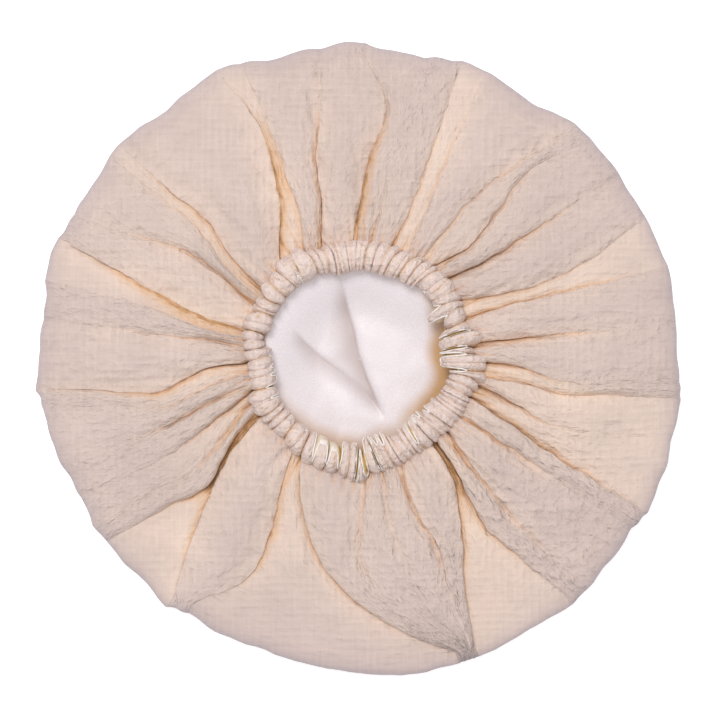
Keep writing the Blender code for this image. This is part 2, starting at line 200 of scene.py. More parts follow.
def overhangs(out):
    """How far the pleat's edge then stands past the furrow and hides it."""
    laps = laps_at(out)
    return np.sign(laps) * np.maximum(np.abs(laps) - LAP_REACH, 0)


def bulge(distance, reach):
    """How much of a lap shows at a distance from its furrow: nothing in it, and most at its reach."""
    share = distance / reach
    return (share * np.exp(1 - share)) ** 2


def furrow_ways(out):
    """Every furrow's direction at a share of the way out, and the first one's again a turn later. The table
    gives the edge that is seen, and the furrow itself lies back under its pleat."""
    places = [Vector((WAVERS_APART * number, WAVERS * out, 2)) for number in range(len(FOLDS))]
    waver = first_again([WAVER * noise.noise(place) for place in places])
    ways = first_again([through(OUT, fold.way, out) for fold in FOLDS])
    ways[-1] += 360
    aside = overhangs(out) + waver * math.sin(math.pi * out)
    return ways + np.degrees(aside / mix(NEAR_RING, NEAR_RIM, out))


# %% [markdown]
# ## The gathered ring
#
# The elastic pulls the mouth into a ring of ruffles: fine pleats here, fat puffs there. Each row is one
# pinch between two ruffles. Its first three numbers are its direction where it starts at the skirt, halfway
# over and where it dives into the mouth, since few pinches run straight. `depth` is how deep it is. `outer`
# and `inner` are how far the ruffle after it reaches, in millimetres. Where the seam with the satin comes
# over the top, `slit` says how far out the satin cuts into the muslin at the pinch, and `seam` how far over
# the ruffle after it the seam lies. A row that ends sooner has no slit, or a seam that stays inside the
# mouth, or both.

# %% The pinches' table
Pinch = namedtuple("Pinch", "start middle end depth outer inner slit seam", defaults=(0, 0.92))
PINCHES = [Pinch(*row) for row in (
    (2, 3, 3, 0.8, 67.7, 46.9, 0.55, 0.9),
    (5.7, 6.6, 4.5, 1, 74.2, 46.9, 0.7, 0.9),
    (13.5, 15.4, 13, 1, 67.1, 48.7, 0.95, 0.88),
    (20, 19.5, 18.5, 0.8, 67.7, 53.5),
    (27, 27.5, 24, 0.6, 68.9, 45.7, 0.3, 0.86),
    (30, 32.4, 34.8, 0.6, 69.5, 53.5, 0.25),
    (35.3, 37, 38.7, 0.4, 70.7, 53.5),
    (43, 45, 46, 0.35, 70.7, 54.1, 0.2),
    (48, 51, 53.6, 0.7, 70.7, 52.3, 0.22),
    (51.5, 53.6, 56.2, 0.5, 70.7, 51.1),
    (55.5, 58.5, 58.8, 0.7, 70.1, 51.1),
    (60, 64, 65, 0.8, 70.1, 51.1),
    (63.8, 66.8, 68.5, 0.4, 70.1, 50.5),
    (68.5, 72.3, 75, 0.8, 71.3, 49.9),
    (74, 76.5, 78.2, 0.6, 71.9, 50.5),
    (79.2, 81.8, 83.5, 0.6, 71.9, 51.1),
    (84.4, 86.8, 87.8, 0.7, 71.9, 51.7),
    (88, 89.5, 90.6, 0.3, 71.9, 51.7),
    (91, 92.2, 92.6, 0.4, 71.9, 51.7),
    (94, 94.6, 94.6, 0.35, 71.9, 51.7),
    (97.5, 97, 96.5, 0.5, 71.9, 51.1),
    (100.5, 100, 99, 0.35, 71.9, 50.5),
    (103.5, 102, 102, 0.6, 71.9, 49.9),
    (107.5, 104.3, 106, 0.7, 71.3, 51.1),
    (110.3, 107.8, 109.6, 0.6, 70.7, 53.5),
    (113.8, 111.8, 112.5, 0.5, 71.3, 54.1),
    (118.7, 115.5, 116.2, 0.8, 75.4, 54.6),
    (123.5, 125.5, 128.5, 0.35, 75.4, 55.8, 0.35, 0.9),
    (134, 132.8, 131.6, 0.7, 72.5, 55.8),
    (138.7, 140, 140.3, 0.7, 72.5, 55.2),
    (145.2, 147.4, 145, 0.9, 70.1, 55.8),
    (151.5, 153, 151, 0.7, 70.1, 55.8),
    (157, 154.6, 154.2, 0.8, 71.3, 55.2),
    (162, 160.5, 159.5, 0.3, 71.9, 55.2),
    (165.8, 165.3, 165.8, 1, 70.7, 58.2),
    (171, 170, 169, 0.4, 69.5, 56.4),
    (175.8, 175, 172.5, 0.7, 68.3, 52.3),
    (181.3, 180, 177, 0.6, 66.5, 51.1, 0.12, 0.9),
    (186, 186, 184, 0.35, 66.5, 51.1, 0.16, 0.86),
    (190.5, 190.3, 190, 0.4, 67.1, 50.5, 0.18, 0.84),
    (196.3, 197, 197, 0.9, 70.1, 52.3, 0.3, 0.9),
    (203, 203.5, 204, 0.3, 70.1, 52.3, 0.34, 0.9),
    (209.5, 210.8, 208.7, 0.7, 68.3, 51.7),
    (214.5, 214.5, 212.4, 0.7, 67.1, 51.1),
    (218.2, 219, 218, 0.6, 65.9, 51.1),
    (226.6, 225.4, 224, 0.8, 67.1, 51.1),
    (231.5, 232.8, 233, 0.35, 68.3, 51.7, 0.22),
    (239, 237.4, 236, 1, 69.5, 49.9),
    (245, 243.6, 240, 0.45, 69.5, 49.9, 0.4, 0.64),
    (251, 252, 249, 0.8, 69.5, 51.1, 0.3, 0.62),
    (258, 259, 256.5, 0.8, 70.7, 49.9, 0.38, 0.88),
    (262.8, 264.2, 262.8, 0.5, 72.5, 48.7),
    (267.2, 268.7, 269.5, 1, 72.5, 52.9, 0.95, 0.8),
    (275, 272.6, 271, 0.7, 68.3, 46.9, 0.75, 0.86),
    (281.5, 279, 274, 1, 67.7, 46.3, 0.95, 0.88),
    (285.8, 283.2, 278.5, 0.5, 67.7, 45.1, 0.3, 0.88),
    (288.6, 286.2, 283.2, 0.7, 67.1, 44.5, 0.36, 0.88),
    (292.8, 290.5, 287.5, 0.7, 66.5, 47.5),
    (295.9, 293.6, 290.5, 0.5, 66.5, 48.7),
    (299.3, 298, 295.5, 0.5, 65.3, 46.3),
    (302, 300.8, 300.5, 0.7, 65.9, 45.7),
    (306.6, 304.6, 307.6, 0.6, 65.9, 45.1, 0.62, 0.88),
    (312, 311, 311.5, 0.9, 66.5, 45.1, 0.25, 0.84),
    (316.8, 316.4, 315, 0.5, 67.1, 45.1, 0.2, 0.84),
    (320, 318.8, 317.8, 0.4, 67.1, 47.5),
    (323.2, 322.8, 322, 0.7, 67.7, 46.9, 0.3, 0.9),
    (326.6, 327, 328, 0.3, 68.3, 47.5),
    (330, 330.7, 332.6, 0.6, 68.9, 49.9),
    (332.8, 333, 335, 0.5, 68.9, 50.5),
    (335.3, 335.4, 337, 0.5, 68.9, 51.1),
    (338, 338.3, 339.8, 0.5, 68.9, 51.7),
    (340.6, 341.8, 343.6, 0.6, 69.5, 52.3),
    (343.8, 346, 347.4, 0.6, 71.9, 52.9),
    (347.5, 350.8, 350.8, 0.8, 75.4, 52.9),
    (354.4, 353.8, 353.8, 0.9, 74.8, 47.5, 0.45, 0.88),
    (358.2, 358.2, 357.2, 0.35, 74.8, 47.5, 0, 0.86),
)]
print(len(PINCHES), "ruffles round the ring")

# %% Reading the pinches round the ring
def pinch_values(column, scale=1.0):
    """A column of the table, with the first row again at the end."""
    return first_again([scale * getattr(pinch, column) for pinch in PINCHES])


def pinch_ways(column):
    """The pinches' directions on one of the table's three lines, and the first one again a turn later."""
    ways = pinch_values(column)
    ways[-1] += 360
    return ways


PINCH_STARTS = pinch_ways("start")


def ruffle_count(directions):
    """How many ruffles lie between the first pinch and each direction, with the part of one."""
    past = np.mod(np.asarray(directions, float) - PINCH_STARTS[0], 360) + PINCH_STARTS[0]
    return np.interp(past, PINCH_STARTS, np.arange(len(PINCH_STARTS)))


SMOOTH_OVER = 7
WINDOW = np.exp(-(np.arange(-2 * SMOOTH_OVER, 2 * SMOOTH_OVER + 1) / SMOOTH_OVER) ** 2)


def smoothed(column):
    """A reach round the ring, smoothed over a few degrees."""
    which = np.minimum(ruffle_count(np.arange(360)).astype(int), len(PINCHES) - 1)
    values = pinch_values(column, MM)[which]
    near = [np.roll(values, 2 * SMOOTH_OVER - degree)[:len(WINDOW)] for degree in range(360)]
    return np.array([np.average(reaches, weights=WINDOW) for reaches in near])


OUTER, INNER = smoothed("outer"), smoothed("inner")
STITCH_ACROSS = 0.66


def reach_at(reach, directions):
    return np.interp(np.mod(directions, 360), np.arange(361), np.append(reach, reach[0]))


def ring_distance(directions):
    return (reach_at(OUTER, directions) + reach_at(INNER, directions)) / 2


def half_breadth(directions):
    return (reach_at(OUTER, directions) - reach_at(INNER, directions)) / 2


def ruffle_phase(directions):
    """The angle that grows by a full turn over each ruffle and is 0 on its crest."""
    return math.tau * (ruffle_count(directions) + 0.5)


def stitch_distance(directions):
    """Where the skirt meets the casing's outer stitch line."""
    return ring_distance(directions) + STITCH_ACROSS * half_breadth(directions)


# %% [markdown]
# ## The skirt's shape
#
# The columns of the mesh run along the furrows, close together beside each one, so that creases stay crisp.
# A ring of the skirt is worked out from the table: the cloth stands up between furrows like a sail, sinks
# into them, and near a lapped pleat bulges sideways over the furrow.

# %% Columns round the skirt
PARTS_A_FOLD, PARTS_A_WIDE_FOLD = 20, 34
WIDE_FOLD = 14.0
FOLD_CROWDING = 0.6


def crowded_columns(parts_in_each, crowding):
    """Each column's row and its share of the way to the next one, closer together near the rows."""
    rows, shares = [], []
    for number, parts in enumerate(parts_in_each):
        for part in range(parts):
            rows.append(number)
            shares.append(mix(part / parts, (1 - math.cos(math.pi * part / parts)) / 2, crowding))
    return np.array(rows), np.array(shares)


def parts_between(fold, after):
    """How many columns stand between two furrows: more where they are far apart."""
    widest = max((b - a) % 360 for a, b in zip(fold.way, after.way))
    return PARTS_A_WIDE_FOLD if widest > WIDE_FOLD else PARTS_A_FOLD


fold_parts = [parts_between(*pair) for pair in zip(FOLDS, FOLDS[1:] + FOLDS[:1])]
COLUMN_FOLD, COLUMN_SHARE = crowded_columns(fold_parts, FOLD_CROWDING)
print(len(COLUMN_FOLD), "columns round the skirt")


def at_columns(values):
    """Values at each fold and the next, mixed by each column's share."""
    return mix(values[COLUMN_FOLD], values[COLUMN_FOLD + 1], COLUMN_SHARE)


# %% The rim
RIM_WOBBLE = 1.3 * MM
RIM_WOBBLES = 14
RIM_BACK = 0.1 * MM
RIM_ARCH = 1.4
RIM_TRIM = ((180, 0), (195, 1.1), (206, 0), (252, 0), (262, 3), (270, 4.7), (278, 5), (286, 1.5), (290, 0))


def rim_reach():
    """The rim's distance from the centre of the gathers, for each column."""
    direction = np.mod(at_columns(furrow_ways(1)), 360)
    trim = np.interp(direction, *zip(*RIM_TRIM)) * MM
    wobble = [noise_round(RIM_WOBBLES, turn, 5) for turn in np.radians(direction)]
    trim += RIM_WOBBLE * np.array(wobble) - RIM_BACK
    reach = first_again([fold.reach / 1000 for fold in FOLDS])
    between_folds = np.array([fold.next_reach / 1000 for fold in FOLDS])[COLUMN_FOLD]
    stand = np.sin(np.pi * COLUMN_SHARE) ** RIM_ARCH
    return HALF_WIDTH * mix(at_columns(reach), between_folds, stand) + trim


# %% [markdown]
# ### Rings of the skirt
#
# Each ring also says how the cloth looks: `warm` is painted light, the glow of light that has bounced
# about there, `crease` the painted shade of the furrow it is in, strongest where that is sharp, `ruck` how
# crinkled it is, most of all at the lower right, and `rim` the painted shade at the rolled edge. A pair such
# as CREASE_FADE says where something starts and over what stretch it grows.

# %% Rings of the skirt
ShadeAndRuck = namedtuple("ShadeAndRuck", "warm crease ruck rim")
SKIRT_HELD = (1.0, 0.62, 0.18, 0.0, 0.0, 0.0, 0.0)
SKIRT_CREST = (1.0, 1.0, 1.0, 1.0, 0.80, 0.40, 0.0)
EDGE_HEIGHT = STITCH_HEIGHT + 4.5 * MM
STEEPEST, SHALLOWEST = 0.9, 0.05
SAIL_NEAR, SAIL_FAR = 0.72, 1.0
PLEAT_RISE = 1.2 * MM
PLEAT_LENGTH = 12.0 * MM
PLEAT_WARMTH, PLEAT_CREASE, PLEAT_SHARPNESS = 0.3, 0.75, 6
CREASE_GLOW = 2.1 * MM
CREASE_THIN, CREASE_SHADED, SHADED_UP_TO = 0.5, 1.3, 1.2
CREASE_FADE, CREASE_FADED = (0.58, 0.42), 0.7
HIDDEN_SPARE = 1.1
FOLD_GLOW = 5.0 * MM
LOW_WARMTH, NEAR_WARMTH, WARM_SPREAD = 1.3, 0.35, 0.3
WARM_FADE, WARM_FADED = (0.45, 0.5), 0.35
RUCK_OPEN = 0.58
RUCK_REACH = 9.0 * MM
VALLEY_SMOOTH = 0.65
BLISTERED, BLISTERED_OVER = 320.0, 26.0
BLISTERED_FROM = (88.0 * MM, 35.0 * MM)
# How much shade is painted on the skirt at the rolled edge, and where it starts.
RIM_SHADE, RIM_SHADE_FROM = 0.12, (0.965, 0.035)


def polar(distance, direction, height):
    """Points from distances and directions about the centre of the gathers."""
    turn = np.radians(direction)
    height = np.broadcast_to(height, np.shape(turn))
    return np.stack([distance * np.cos(turn), distance * np.sin(turn), height], axis=1)


def crease_width(lap):
    """A crease is shaded wider on the side that its pleat doesn't cover."""
    return CREASE_GLOW * (CREASE_THIN + CREASE_SHADED * np.clip(lap, 0, SHADED_UP_TO))


def skirt_ring(out):
    """One ring of the skirt: its points, and at each its painted light and shade and how crinkled it is."""
    ways, depths, fulls = furrow_ways(out), furrow_values("depth", out), furrow_values("full", out)
    here, there = COLUMN_FOLD, COLUMN_FOLD + 1
    direction, depth, full = at_columns(ways), at_columns(depths), fulls[here]
    distance = mix(stitch_distance(direction), rim_reach() - RIM_ROLL, out)
    width = distance * np.radians(ways[there] - ways[here])
    can_rise = np.clip(width / (STEEPEST * GATHER_DEPTH * np.maximum(depth, SHALLOWEST)), 0, 1)
    arch = np.sin(np.pi * COLUMN_SHARE)
    sag = depth * (1 - full * can_rise * arch ** mix(SAIL_NEAR, SAIL_FAR, out))

    held = np.interp(out, SKIRT_OUT, SKIRT_HELD)
    crest = mix(2 * RIM_ROLL, SKIRT_HEIGHT, through(SKIRT_OUT, SKIRT_CREST, out))
    gathers = np.interp(out, SKIRT_OUT, SKIRT_GATHERS)
    height = mix(crest, EDGE_HEIGHT, held) - GATHER_DEPTH * sag * gathers

    before, after = width * COLUMN_SHARE, width * (1 - COLUMN_SHARE)
    laps, hidden = laps_at(out), HIDDEN_SPARE * overhangs(out)
    lap_back = np.maximum(laps[here], 0) * bulge(before, LAP_REACH)
    lap_on = np.maximum(-laps[there], 0) * bulge(after, LAP_REACH)
    direction = direction + np.degrees((lap_on - lap_back) / distance)
    pleat = np.cos(ruffle_phase(direction))
    pleated = np.exp(-(distance - stitch_distance(direction)) / PLEAT_LENGTH)
    height = height + PLEAT_RISE * pleat * pleated

    # Painted shade: a furrow shows a crease only where the cloth stands up on one side of it at least.
    sharp = depths * np.maximum(fulls, np.append(fulls[-2], fulls[:-1]))
    past = np.maximum(before + np.minimum(hidden, 0)[here], 0)
    short = np.maximum(after - np.maximum(hidden, 0)[there], 0)
    crease = sharp[here] * np.exp(-past / crease_width(-LAPS)[here])
    crease = crease + sharp[there] * np.exp(-short / crease_width(LAPS)[there])
    crease = crease * (1 - CREASE_FADED * eased(out, *CREASE_FADE))
    crease = crease + PLEAT_CREASE * np.maximum(-pleat, 0) ** PLEAT_SHARPNESS * pleated

    # Painted light: warm is the peach glow of light bounced about in low valleys and beside furrows.
    glow_before = depths[here] * np.exp(-before / FOLD_GLOW)
    glow_after = depths[there] * np.exp(-after / FOLD_GLOW)
    low = depth * (1 - full * can_rise * arch ** WARM_SPREAD)
    warm = LOW_WARMTH * low + NEAR_WARMTH * (glow_before + glow_after)
    warm = warm * (1 - WARM_FADED * eased(out, *WARM_FADE))
    warm = np.clip(warm + PLEAT_WARMTH * np.maximum(-pleat, 0) * pleated, 0, 1)

    ruck = RUCK_OPEN + (1 - RUCK_OPEN) * np.exp(-np.minimum(before, after) / RUCK_REACH)
    ruck = ruck * (1 - VALLEY_SMOOTH * (1 - full))
    blistered = np.exp(-((np.mod(direction, 360) - BLISTERED) / BLISTERED_OVER) ** 2)
    ruck = ruck * (1 + blistered * eased(distance, *BLISTERED_FROM))
    # Painted shade at the rolled edge, where the skirt meets the rim.
    rim = np.full(len(direction), RIM_SHADE * float(eased(out, *RIM_SHADE_FROM)))
    return polar(distance, direction, height), ShadeAndRuck(warm, crease, ruck, rim)


# %% [markdown]
# ## The whole shell, ring by ring
#
# The shell starts as a circle in the middle of the base. Each further ring is extruded from the last one's
# edges and moved to its place, as one would model a bag by hand. A column number on each vertex survives
# the extrusion, so every new point knows where it belongs.

# %% Extruding rings
def extruded_rings(rings, cap):
    """A sheet of rings of points, as a bmesh whose vertices know their ring and column."""
    mesh = bmesh.new()
    columns = len(rings[0])
    column_of = mesh.verts.layers.int.new("column")
    ring_of = mesh.verts.layers.int.new("ring")
    bmesh.ops.create_circle(mesh, segments=columns, radius=1, cap_ends=cap, cap_tris=cap)
    rim = (v for v in mesh.verts if v.co.length > 0.5)
    edge = sorted(rim, key=lambda v: math.atan2(v.co.y, v.co.x) % math.tau)
    for column, vertex in enumerate(edge):
        vertex[column_of] = column
        vertex.co = rings[0][column]
    for vertex in mesh.verts:
        if vertex not in edge:
            vertex.co = Vector(np.mean(rings[0], axis=0))
            vertex[ring_of] = -1
    front = [e for e in mesh.edges if e.verts[0][ring_of] == 0 and e.verts[1][ring_of] == 0]
    for number, ring in enumerate(rings[1:], 1):
        made = bmesh.ops.extrude_edge_only(mesh, edges=front)["geom"]
        for vertex in (g for g in made if isinstance(g, bmesh.types.BMVert)):
            vertex.co = ring[vertex[column_of]]
            vertex[ring_of] = number
        front = [g for g in made if isinstance(g, bmesh.types.BMEdge)]
    bmesh.ops.recalc_face_normals(mesh, faces=mesh.faces)
    return mesh


def placed(name, data):
    """A new object in the scene with this data."""
    made = bpy.data.objects.new(name, data)
    bpy.context.scene.collection.objects.link(made)
    return made


def as_piece(name, mesh, attributes=None):
    """An object from a bmesh of rings, with attributes given ring by ring."""
    numbers = [(v[mesh.verts.layers.int["ring"]], v[mesh.verts.layers.int["column"]]) for v in mesh.verts]
    data = bpy.data.meshes.new(name)
    mesh.to_mesh(data)
    mesh.free()
    for label, rings in (attributes or {}).items():
        values = np.array([rings[max(r, 0)][c] for r, c in numbers], float)
        kind, field = ("FLOAT", "value") if values.ndim == 1 else ("FLOAT_VECTOR", "vector")
        data.attributes.new(label, kind, "POINT").data.foreach_set(field, values.ravel())
    data.shade_smooth()
    return placed(name, data)


# %% The shell's rings
SKIRT_RINGS, RINGS_CROWDING = 62, 1.15
RIM_TURNS = np.linspace(76, -90, 12)
BASE_SHARES = (0.12, 0.35, 0.6, 0.8, 0.92, 0.975)
SHADE_ABOVE, SHADE_BELOW = 0.8, 0.4
EDGE_PLEAT = 2.4 * MM
EDGE_TUCK = 2.0 * MM


def shell_rings():
    """Rings from the middle of the base, round the rim and up the skirt to its edge in the casing."""
    reach = rim_reach()
    rim_direction = at_columns(furrow_ways(1))
    top, rim = skirt_ring(1.0)
    made = []
    for share in BASE_SHARES:
        ring = polar((reach - RIM_ROLL) * share, rim_direction, 0.0)
        made.append((ring, ShadeAndRuck(*(0 * v for v in rim))))
    for turn in RIM_TURNS[::-1]:
        lean = math.radians(turn)
        distance = reach - RIM_ROLL * (1 - math.cos(lean))
        fade = (1 + math.sin(lean)) / 2
        above, below = max(0, math.sin(lean)), max(0, -math.sin(lean))
        # Painted shade round the roll: greyest where it turns outwards, less over the top and none
        # underneath.
        roll_shade = np.full(len(reach), mix(1.0, RIM_SHADE, above ** SHADE_ABOVE) - below ** SHADE_BELOW)
        shade_and_ruck = ShadeAndRuck(fade * rim.warm, fade * rim.crease, fade * rim.ruck, roll_shade)
        made.append((polar(distance, rim_direction, top[:, 2] * fade), shade_and_ruck))
    for out in np.linspace(1, 0, SKIRT_RINGS) ** RINGS_CROWDING:
        made.append(skirt_ring(float(out)))
    edge, shade_and_ruck = made[-1]
    directions = np.degrees(np.arctan2(edge[:, 1], edge[:, 0]))
    pleats = EDGE_PLEAT * np.cos(ruffle_phase(directions))
    made.append((polar(stitch_distance(directions) - EDGE_TUCK, directions, edge[:, 2] + pleats), shade_and_ruck))
    return zip(*made)


rings, shades_and_rucks = shell_rings()
outline = np.concatenate(rings)
MIDDLE = np.array([*(outline.max(0)[:2] + outline.min(0)[:2]) / 2, 0])
print("centre of the gathers is", (-MIDDLE[:2] / MM).round(1), "mm from the middle of the outline")

# %% [markdown]
# ## Crinkles
#
# Double gauze is two layers tacked together, and it shrinks into soft crinkles. Those wider than a few
# millimetres are real relief in the mesh, longer along the folds than across them. Finer ones are left to
# bump, which follows the folds by the `lay` attribute.

# %% Crinkling a ring of points
CRINKLE = 1.5 * MM
CRINKLES_ROUND, FINE_CRINKLES_ROUND = 9, 24
CRINKLE_LENGTH = 30 * MM
PUCKER_WIDTH = 7 * MM
CRINKLED_FROM, CRINKLED_OVER = 2 * MM, 6 * MM
LAY_PITCHES = 7
LAY_LENGTH = 6 * MM


def crinkled(points, ruck):
    """The points moved up and down by soft crinkles, long along the skirt and short round it."""
    moved = points.copy()
    for i, (x, y, z) in enumerate(points):
        if z < CRINKLED_FROM:
            continue
        turn, along = math.atan2(y, x), math.hypot(x, y) / CRINKLE_LENGTH
        fold_wise = noise_round(CRINKLES_ROUND, turn, along)
        fine = noise_round(FINE_CRINKLES_ROUND, turn, 1.6 * along + 7)
        puckers = noise.noise(Vector((x, y, 0)) / PUCKER_WIDTH)
        lift = fold_wise + 0.75 * (1 - 2.4 * abs(fine)) + 0.5 * puckers
        moved[i, 2] += CRINKLE * min(ruck[i], 1) * lift * min(1, (z - CRINKLED_FROM) / CRINKLED_OVER)
    return moved


def lay_of(ring):
    """The lay of the cloth at each point of a ring of the shell."""
    turn = (COLUMN_FOLD + COLUMN_SHARE) * math.tau / len(FOLDS)
    size = LAY_PITCHES * len(FOLDS) / math.tau
    out = np.hypot(ring[:, 0], ring[:, 1]) / LAY_LENGTH
    return np.stack([size * np.cos(turn), size * np.sin(turn), out], axis=1)


cloth = [crinkled(ring - MIDDLE, shade_and_ruck.ruck) for ring, shade_and_ruck in zip(rings, shades_and_rucks)]
grades = {name: [getattr(shade_and_ruck, name) for shade_and_ruck in shades_and_rucks] for name in ShadeAndRuck._fields}
grades["lay"] = [lay_of(ring) for ring in rings]
shell = as_piece("muslin_shell", extruded_rings(cloth, cap=True), grades)
print("shell:", len(shell.data.polygons), "faces")

# %% [markdown]
# ## The casing
#
# A tunnel of muslin is pushed together along the elastic, so it stands in close, rounded ruffles with sharp
# pinches between them. One function gives any point of it: the section of the tunnel, pushed out by the
# ruffles. Where the band rolls open, its seam edge lies on top and snakes in and out in loops with narrow
# necks, and the satin facing shows as their insides, painted in a dark golden shade. Shade is also painted
# into the muslin's pinches and along fine creases that run through it.

# %% The casing's section
Section = namedtuple("Section", "along across up ruffle")
CASING = [
    Section(0.00, 0.72, 0.02, 0.20),
    Section(0.14, 1.00, 0.20, 0.80),
    Section(0.28, 0.84, 0.60, 1.00),
    Section(0.42, 0.42, 0.93, 1.00),
    Section(0.56, -0.20, 1.00, 1.00),
    Section(0.70, -0.78, 0.80, 1.00),
    Section(0.84, -1.00, 0.42, 0.80),
    Section(1.00, -0.76, 0.02, 0.30),
]
SECTION_STEPS = np.linspace(0, 1, 201)


def section_curve(column):
    """A column of the section, read closely."""
    knots, values = [row.along for row in CASING], [getattr(row, column) for row in CASING]
    return np.array([through(knots, values, step) for step in SECTION_STEPS])


SECTION_CURVES = {column: section_curve(column) for column in ("across", "up", "ruffle")}


def section_value(column, along):
    return np.interp(along, SECTION_STEPS, SECTION_CURVES[column])


# %% The casing's columns and its seam
PARTS_A_RUFFLE, PARTS_A_SLIT = 14, 22
RUFFLE_CROWDING = 0.8
SLIT_SHOWS = 0.08
SLIT_HALF = 1.25 * MM
SEAM_HIGHEST, SEAM_HIDDEN = 0.16, 0.93
LEAN_STEP, LEAN_SHARE = 2.4, 0.38
RUFFLE_ARCH = 0.6
NOTCH = 2.2 * MM
OVERLAP = 1.5 * MM
OVERLAP_SHOWN = 0.32
FLAT_AT, FLAT_OVER = 92.0, 24.0

slit, seam = pinch_values("slit"), pinch_values("seam")
ruffle_parts = [PARTS_A_SLIT if max(pair) > SLIT_SHOWS else PARTS_A_RUFFLE for pair in zip(slit, slit[1:])]
PINCH, SHARE = crowded_columns(ruffle_parts, RUFFLE_CROWDING)


def at_pinches(values):
    """Values at the pinches, mixed by each column's share."""
    return mix(values[PINCH], values[PINCH + 1], SHARE)


def one_before(values):
    """For each pinch the value of the one before it."""
    return np.roll(values[:-1], 1)[np.arange(len(values)) % len(PINCHES)]


def slit_near(distance):
    """1 in the slit and 0 beside it, with a round end and straight sides."""
    return np.exp(-(distance / SLIT_HALF) ** 4)


WAYS = [at_pinches(pinch_ways(column)) for column in ("start", "middle", "end")]
TURNS = WAYS[1]
WIDTH = np.radians(np.diff(pinch_ways("middle"))[PINCH]) * RING_RADIUS
BEFORE, AFTER = WIDTH * SHARE, WIDTH * (1 - SHARE)
LEAN = np.array([math.sin(LEAN_STEP * number) for number in range(len(PINCHES) + 1)])
STAND = np.sin(np.pi * SHARE ** (1 + LEAN_SHARE * LEAN[PINCH])) ** RUFFLE_ARCH
DEPTH = at_pinches(pinch_values("depth"))
outer, inner = pinch_values("outer", MM), pinch_values("inner", MM)
notch = NOTCH * pinch_values("depth")
OUT_TO = mix(at_pinches(np.minimum(outer, one_before(outer)) - notch), outer[PINCH], STAND)
IN_TO = mix(at_pinches(np.maximum(inner, one_before(inner)) + notch), inner[PINCH], STAND)
LEANS_ON = np.maximum(LEAN[PINCH], 0) * bulge(AFTER, OVERLAP)
LEANS_BACK = np.maximum(-LEAN[PINCH], 0) * bulge(BEFORE, OVERLAP)
SHIFT = np.degrees(OVERLAP * OVERLAP_SHOWN * DEPTH * (LEANS_ON - LEANS_BACK) / RING_RADIUS)
FLAT = np.exp(-((TURNS - FLAT_AT) / FLAT_OVER) ** 4)
SLIT = np.maximum(slit[PINCH] * slit_near(BEFORE), slit[PINCH + 1] * slit_near(AFTER))
SEAM = mix(at_pinches(np.minimum(seam, one_before(seam))), seam[PINCH], STAND ** 0.5)
SEAM = np.clip(SEAM - SLIT * (SEAM_HIDDEN - SEAM_HIGHEST), SEAM_HIGHEST, SEAM_HIDDEN)
print(len(TURNS), "columns round the casing")

# %% A point of the casing
MOUND = 0.45
PINCH_DEPTH = 3.4 * MM
PINCH_BACK, PINCH_DOWN = 0.35, 0.65
LOW_RUFFLE, HIGH_RUFFLE = 0.93, 1.03
WIDE_RUFFLE, NARROW_RUFFLE = 7.0 * MM, 3.5 * MM
FLATTER = 0.16
TOP_FROM, TOP_OVER = 0.12, 0.72
WRINKLE = 0.42 * MM
WRINKLES_ROUND, FINE_WRINKLES_ROUND, LINES_ROUND = 11, 34, 46
CRUMPLE = 0.45 * MM
CRUMPLE_WIDTH = 4.6 * MM
FINE_CREASE_SHADE, FINE_CREASE_WIDTH = 0.85, 0.07
RISE = CASING_RISE * mix(LOW_RUFFLE, HIGH_RUFFLE, np.clip(WIDTH / WIDE_RUFFLE, 0, 1))


def casing_direction(along):
    """Each column's direction at a share of the way over, on a curve through its three directions."""
    t = np.clip((along - TOP_FROM) / TOP_OVER, 0, 1)
    direction = 2 * (t - 0.5) * (t - 1) * WAYS[0] + 4 * t * (1 - t) * WAYS[1] + 2 * t * (t - 0.5) * WAYS[2]
    return direction + SHIFT * section_value("ruffle", along)


